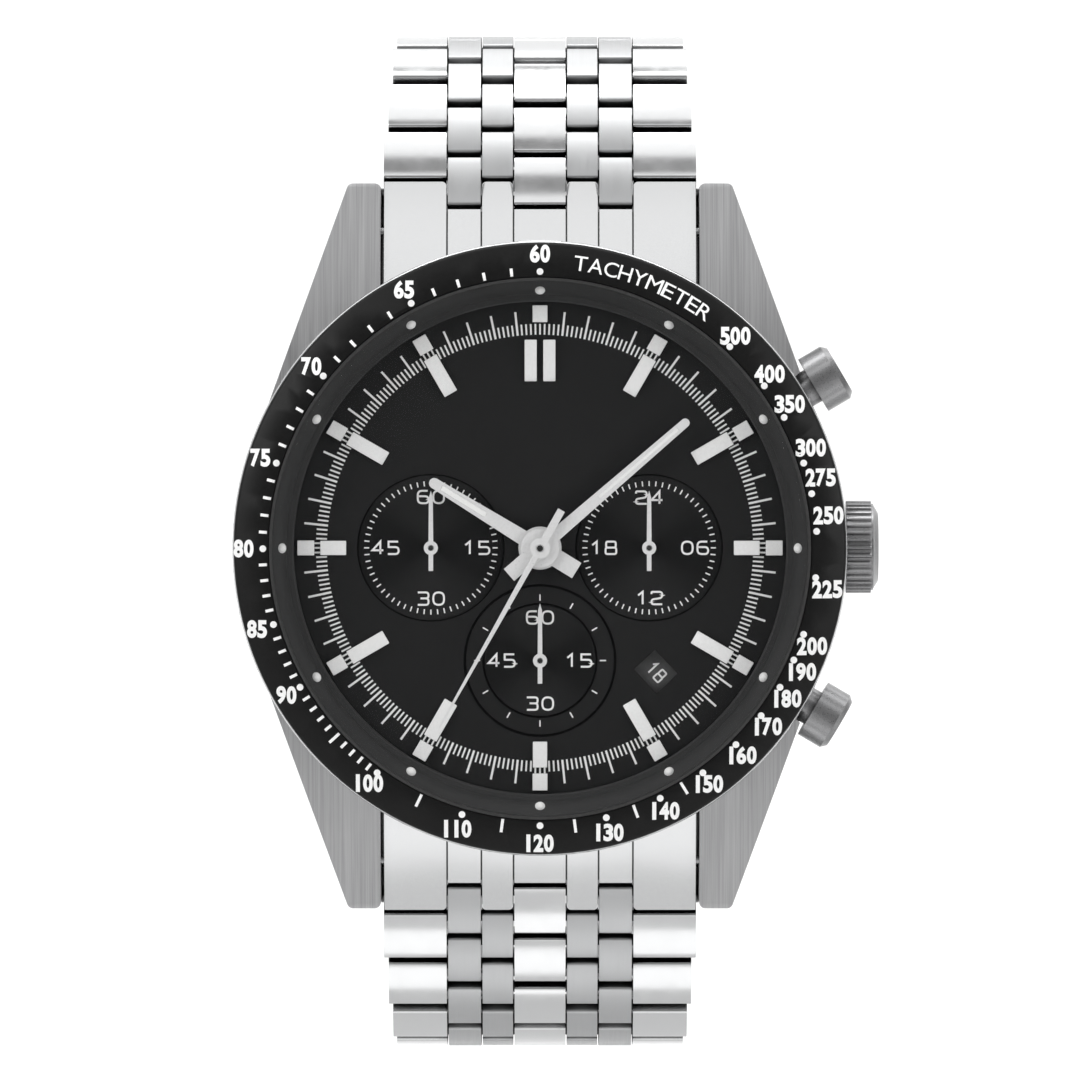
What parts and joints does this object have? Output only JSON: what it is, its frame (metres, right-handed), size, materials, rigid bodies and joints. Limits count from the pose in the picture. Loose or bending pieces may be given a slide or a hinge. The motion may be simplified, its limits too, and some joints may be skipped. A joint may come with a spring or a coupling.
{
  "type": "chronograph wristwatch",
  "caption": "Round steel chronograph wristwatch with tachymeter bezel, subdials, pushers and a hinged-link bracelet closed by a folding clasp.",
  "frame": {"origin": "centre of the case back's outer face", "axes": "+Z to 12 o'clock, +X to 3 o'clock, dial faces -Y, bracelet loop behind at +Y"},
  "size_m": [0.045, 0.048, 0.0718],
  "materials": {
    "steel": "satin brushed",
    "link": "polished and satin columns",
    "insert": "satin black",
    "crystal": "clear",
    "flange": "matt dark grey",
    "dial": "matt black",
    "marker": "white",
    "hand": "white satin",
    "date": "dark grey",
    "gasket": "matt",
    "holder": "moulded",
    "movement": "machined",
    "battery": "plated",
    "coil": "enamelled wire"
  },
  "bodies": {
    "case": {"case_middle": "steel", "case_back": "steel", "gaskets": "gasket", "bezel_ring": "steel", "bezel_insert": "insert", "crystal": "crystal", "flange_ring": "flange", "dial": "dial", "hour_indices": "marker", "movement_holder": "holder", "main_plate": "movement", "train_bridge": "movement", "battery": "battery", "coils_and_circuit": "coil", "case_tubes": "steel", "end_links": "steel", "spring_bars": "steel"},
    "hour": {"hour_hand": "hand", "hour_wheel": "movement"},
    "minute": {"minute_hand": "hand"},
    "minute_wheel": {"minute_wheel": "movement"},
    "chrono_seconds": {"chrono_seconds_hand": "hand"},
    "small_seconds": {"small_seconds_hand": "hand"},
    "minute_counter": {"minute_counter_hand": "hand"},
    "hour24": {"hour24_hand": "hand"},
    "date": {"date_ring": "date"},
    "setting": {"setting_lever": "steel"},
    "crown": {"crown": "steel", "crown_stem": "steel"},
    "pusher_upper": {"pusher_upper": "steel"},
    "pusher_lower": {"pusher_lower": "steel"},
    "clasp_cover": {"clasp_cover": "steel"},
    "clasp_middle": {"clasp_middle_blade": "steel"},
    "clasp_inner": {"clasp_inner_blade": "steel"},
    "button_left": {"clasp_button_left": "steel"},
    "button_right": {"clasp_button_right": "steel"},
    "upper_row_1": {"upper_row_1": "link"},
    "upper_row_2": {"upper_row_2": "link"},
    "upper_row_3": {"upper_row_3": "link"},
    "upper_row_4": {"upper_row_4": "link"},
    "upper_row_5": {"upper_row_5": "link"},
    "upper_row_6": {"upper_row_6": "link"},
    "upper_row_7": {"upper_row_7": "link"},
    "upper_row_8": {"upper_row_8": "link"},
    "upper_row_9": {"upper_row_9": "link"},
    "upper_row_10": {"upper_row_10": "link"},
    "upper_row_11": {"upper_row_11": "link"},
    "upper_row_12": {"upper_row_12": "link"},
    "lower_row_1": {"lower_row_1": "link"},
    "lower_row_2": {"lower_row_2": "link"},
    "lower_row_3": {"lower_row_3": "link"},
    "lower_row_4": {"lower_row_4": "link"},
    "lower_row_5": {"lower_row_5": "link"},
    "lower_row_6": {"lower_row_6": "link"},
    "lower_row_7": {"lower_row_7": "link"},
    "lower_row_8": {"lower_row_8": "link"},
    "lower_row_9": {"lower_row_9": "link"},
    "lower_row_10": {"lower_row_10": "link"},
    "lower_row_11": {"lower_row_11": "link"},
    "lower_row_12": {"lower_row_12": "link"}
  },
  "joints": [
    {"name": "minute_turn", "type": "hinge", "parent": "case", "child": "minute", "pos_m": [0, -0.007, 0], "axis": [0, 1, 0], "continuous": true},
    {"name": "hour_turn", "type": "hinge", "parent": "case", "child": "hour", "pos_m": [0, -0.007, 0], "axis": [0, 1, 0], "continuous": true},
    {"name": "minute_wheel_turn", "type": "hinge", "parent": "case", "child": "minute_wheel", "pos_m": [0.00312, -0.007, 0.0018], "axis": [0, 1, 0], "continuous": true},
    {"name": "hour24_turn", "type": "hinge", "parent": "case", "child": "hour24", "pos_m": [0.0076, -0.007, 0], "axis": [0, 1, 0], "continuous": true},
    {"name": "small_seconds_turn", "type": "hinge", "parent": "case", "child": "small_seconds", "pos_m": [0, -0.007, -0.00785], "axis": [0, 1, 0], "continuous": true},
    {"name": "chrono_seconds_turn", "type": "hinge", "parent": "case", "child": "chrono_seconds", "pos_m": [0, -0.007, 0], "axis": [0, 1, 0], "continuous": true},
    {"name": "minute_counter_turn", "type": "hinge", "parent": "case", "child": "minute_counter", "pos_m": [-0.0076, -0.007, 0], "axis": [0, 1, 0], "continuous": true},
    {"name": "date_turn", "type": "hinge", "parent": "case", "child": "date", "pos_m": [0, -0.007, 0], "axis": [0, 1, 0], "continuous": true},
    {"name": "crown_pull", "type": "slide", "parent": "case", "child": "setting", "axis": [1, 0, 0], "range_m": [0, 0.001]},
    {"name": "crown_turn", "type": "hinge", "parent": "setting", "child": "crown", "pos_m": [0.0215, -0.0043, 0], "axis": [1, 0, 0], "continuous": true},
    {"name": "pusher_upper_press", "type": "slide", "parent": "case", "child": "pusher_upper", "axis": [-0.8607, 0, -0.509], "range_m": [0, 0.0009], "stiffness_N_per_m": 2000, "springref_m": -0.0015},
    {"name": "pusher_lower_press", "type": "slide", "parent": "case", "child": "pusher_lower", "axis": [-0.8607, 0, 0.509], "range_m": [0, 0.0009], "stiffness_N_per_m": 2000, "springref_m": -0.0015},
    {"name": "upper_link_1", "type": "hinge", "parent": "case", "child": "upper_row_1", "pos_m": [0, -0.0009, 0.02415], "axis": [1, 0, 0], "range_deg": [0, 12]},
    {"name": "upper_link_2", "type": "hinge", "parent": "upper_row_1", "child": "upper_row_2", "pos_m": [0, 0.00138, 0.02773], "axis": [1, 0, 0], "range_deg": [0, 8]},
    {"name": "upper_link_3", "type": "hinge", "parent": "upper_row_2", "child": "upper_row_3", "pos_m": [0, 0.00398, 0.03109], "axis": [1, 0, 0], "range_deg": [0, 18]},
    {"name": "upper_link_4", "type": "hinge", "parent": "upper_row_3", "child": "upper_row_4", "pos_m": [0, 0.00738, 0.03361], "axis": [1, 0, 0], "range_deg": [0, 26]},
    {"name": "upper_link_5", "type": "hinge", "parent": "upper_row_4", "child": "upper_row_5", "pos_m": [0, 0.0115, 0.03459], "axis": [1, 0, 0], "range_deg": [0, 15]},
    {"name": "upper_link_6", "type": "hinge", "parent": "upper_row_5", "child": "upper_row_6", "pos_m": [0, 0.01574, 0.03467], "axis": [1, 0, 0], "range_deg": [0, 9]},
    {"name": "upper_link_7", "type": "hinge", "parent": "upper_row_6", "child": "upper_row_7", "pos_m": [0, 0.01997, 0.03426], "axis": [1, 0, 0], "range_deg": [0, 12]},
    {"name": "upper_link_8", "type": "hinge", "parent": "upper_row_7", "child": "upper_row_8", "pos_m": [0, 0.02408, 0.03318], "axis": [1, 0, 0], "range_deg": [0, 14]},
    {"name": "upper_link_9", "type": "hinge", "parent": "upper_row_8", "child": "upper_row_9", "pos_m": [0, 0.02789, 0.03132], "axis": [1, 0, 0], "range_deg": [0, 15]},
    {"name": "upper_link_10", "type": "hinge", "parent": "upper_row_9", "child": "upper_row_10", "pos_m": [0, 0.0312, 0.02866], "axis": [1, 0, 0], "range_deg": [0, 17]},
    {"name": "upper_link_11", "type": "hinge", "parent": "upper_row_10", "child": "upper_row_11", "pos_m": [0, 0.03377, 0.02529], "axis": [1, 0, 0], "range_deg": [0, 18]},
    {"name": "upper_link_12", "type": "hinge", "parent": "upper_row_11", "child": "upper_row_12", "pos_m": [0, 0.03537, 0.02136], "axis": [1, 0, 0], "range_deg": [0, 19]},
    {"name": "lower_link_1", "type": "hinge", "parent": "case", "child": "lower_row_1", "pos_m": [0, -0.0009, -0.02415], "axis": [-1, 0, 0], "range_deg": [0, 12]},
    {"name": "lower_link_2", "type": "hinge", "parent": "lower_row_1", "child": "lower_row_2", "pos_m": [0, 0.00138, -0.02773], "axis": [-1, 0, 0], "range_deg": [0, 8]},
    {"name": "lower_link_3", "type": "hinge", "parent": "lower_row_2", "child": "lower_row_3", "pos_m": [0, 0.00398, -0.03109], "axis": [-1, 0, 0], "range_deg": [0, 18]},
    {"name": "lower_link_4", "type": "hinge", "parent": "lower_row_3", "child": "lower_row_4", "pos_m": [0, 0.00738, -0.03361], "axis": [-1, 0, 0], "range_deg": [0, 26]},
    {"name": "lower_link_5", "type": "hinge", "parent": "lower_row_4", "child": "lower_row_5", "pos_m": [0, 0.0115, -0.03459], "axis": [-1, 0, 0], "range_deg": [0, 15]},
    {"name": "lower_link_6", "type": "hinge", "parent": "lower_row_5", "child": "lower_row_6", "pos_m": [0, 0.01574, -0.03467], "axis": [-1, 0, 0], "range_deg": [0, 9]},
    {"name": "lower_link_7", "type": "hinge", "parent": "lower_row_6", "child": "lower_row_7", "pos_m": [0, 0.01997, -0.03426], "axis": [-1, 0, 0], "range_deg": [0, 12]},
    {"name": "lower_link_8", "type": "hinge", "parent": "lower_row_7", "child": "lower_row_8", "pos_m": [0, 0.02408, -0.03318], "axis": [-1, 0, 0], "range_deg": [0, 14]},
    {"name": "lower_link_9", "type": "hinge", "parent": "lower_row_8", "child": "lower_row_9", "pos_m": [0, 0.02789, -0.03132], "axis": [-1, 0, 0], "range_deg": [0, 15]},
    {"name": "lower_link_10", "type": "hinge", "parent": "lower_row_9", "child": "lower_row_10", "pos_m": [0, 0.0312, -0.02866], "axis": [-1, 0, 0], "range_deg": [0, 17]},
    {"name": "lower_link_11", "type": "hinge", "parent": "lower_row_10", "child": "lower_row_11", "pos_m": [0, 0.03377, -0.02529], "axis": [-1, 0, 0], "range_deg": [0, 18]},
    {"name": "lower_link_12", "type": "hinge", "parent": "lower_row_11", "child": "lower_row_12", "pos_m": [0, 0.03537, -0.02136], "axis": [-1, 0, 0], "range_deg": [0, 19]},
    {"name": "clasp_link", "type": "hinge", "parent": "lower_row_12", "child": "clasp_cover", "pos_m": [0, 0.03583, -0.01715], "axis": [-1, 0, 0], "range_deg": [0, 10]},
    {"name": "middle_blade_fold", "type": "hinge", "parent": "clasp_cover", "child": "clasp_middle", "pos_m": [0, 0.03608, 0.0149], "axis": [-1, 0, 0], "range_deg": [0, 70]},
    {"name": "inner_blade_fold", "type": "hinge", "parent": "clasp_middle", "child": "clasp_inner", "pos_m": [0, 0.03573, -0.013], "axis": [1, 0, 0], "range_deg": [0, 50]},
    {"name": "button_left_press", "type": "slide", "parent": "clasp_cover", "child": "button_left", "axis": [1, 0, 0], "range_m": [0, 0.0006], "stiffness_N_per_m": 600, "springref_m": -0.001},
    {"name": "button_right_press", "type": "slide", "parent": "clasp_cover", "child": "button_right", "axis": [-1, 0, 0], "range_m": [0, 0.0006], "stiffness_N_per_m": 600, "springref_m": -0.001}
  ],
  "couplings": [
    {"joint": "hour_turn", "follows": "minute_turn", "ratio": 0.083333},
    {"joint": "minute_wheel_turn", "follows": "minute_turn", "ratio": -0.33333},
    {"joint": "hour24_turn", "follows": "minute_turn", "ratio": 0.041667},
    {"joint": "small_seconds_turn", "follows": "minute_turn", "ratio": 60},
    {"joint": "minute_counter_turn", "follows": "chrono_seconds_turn", "ratio": 0.016667}
  ]
}
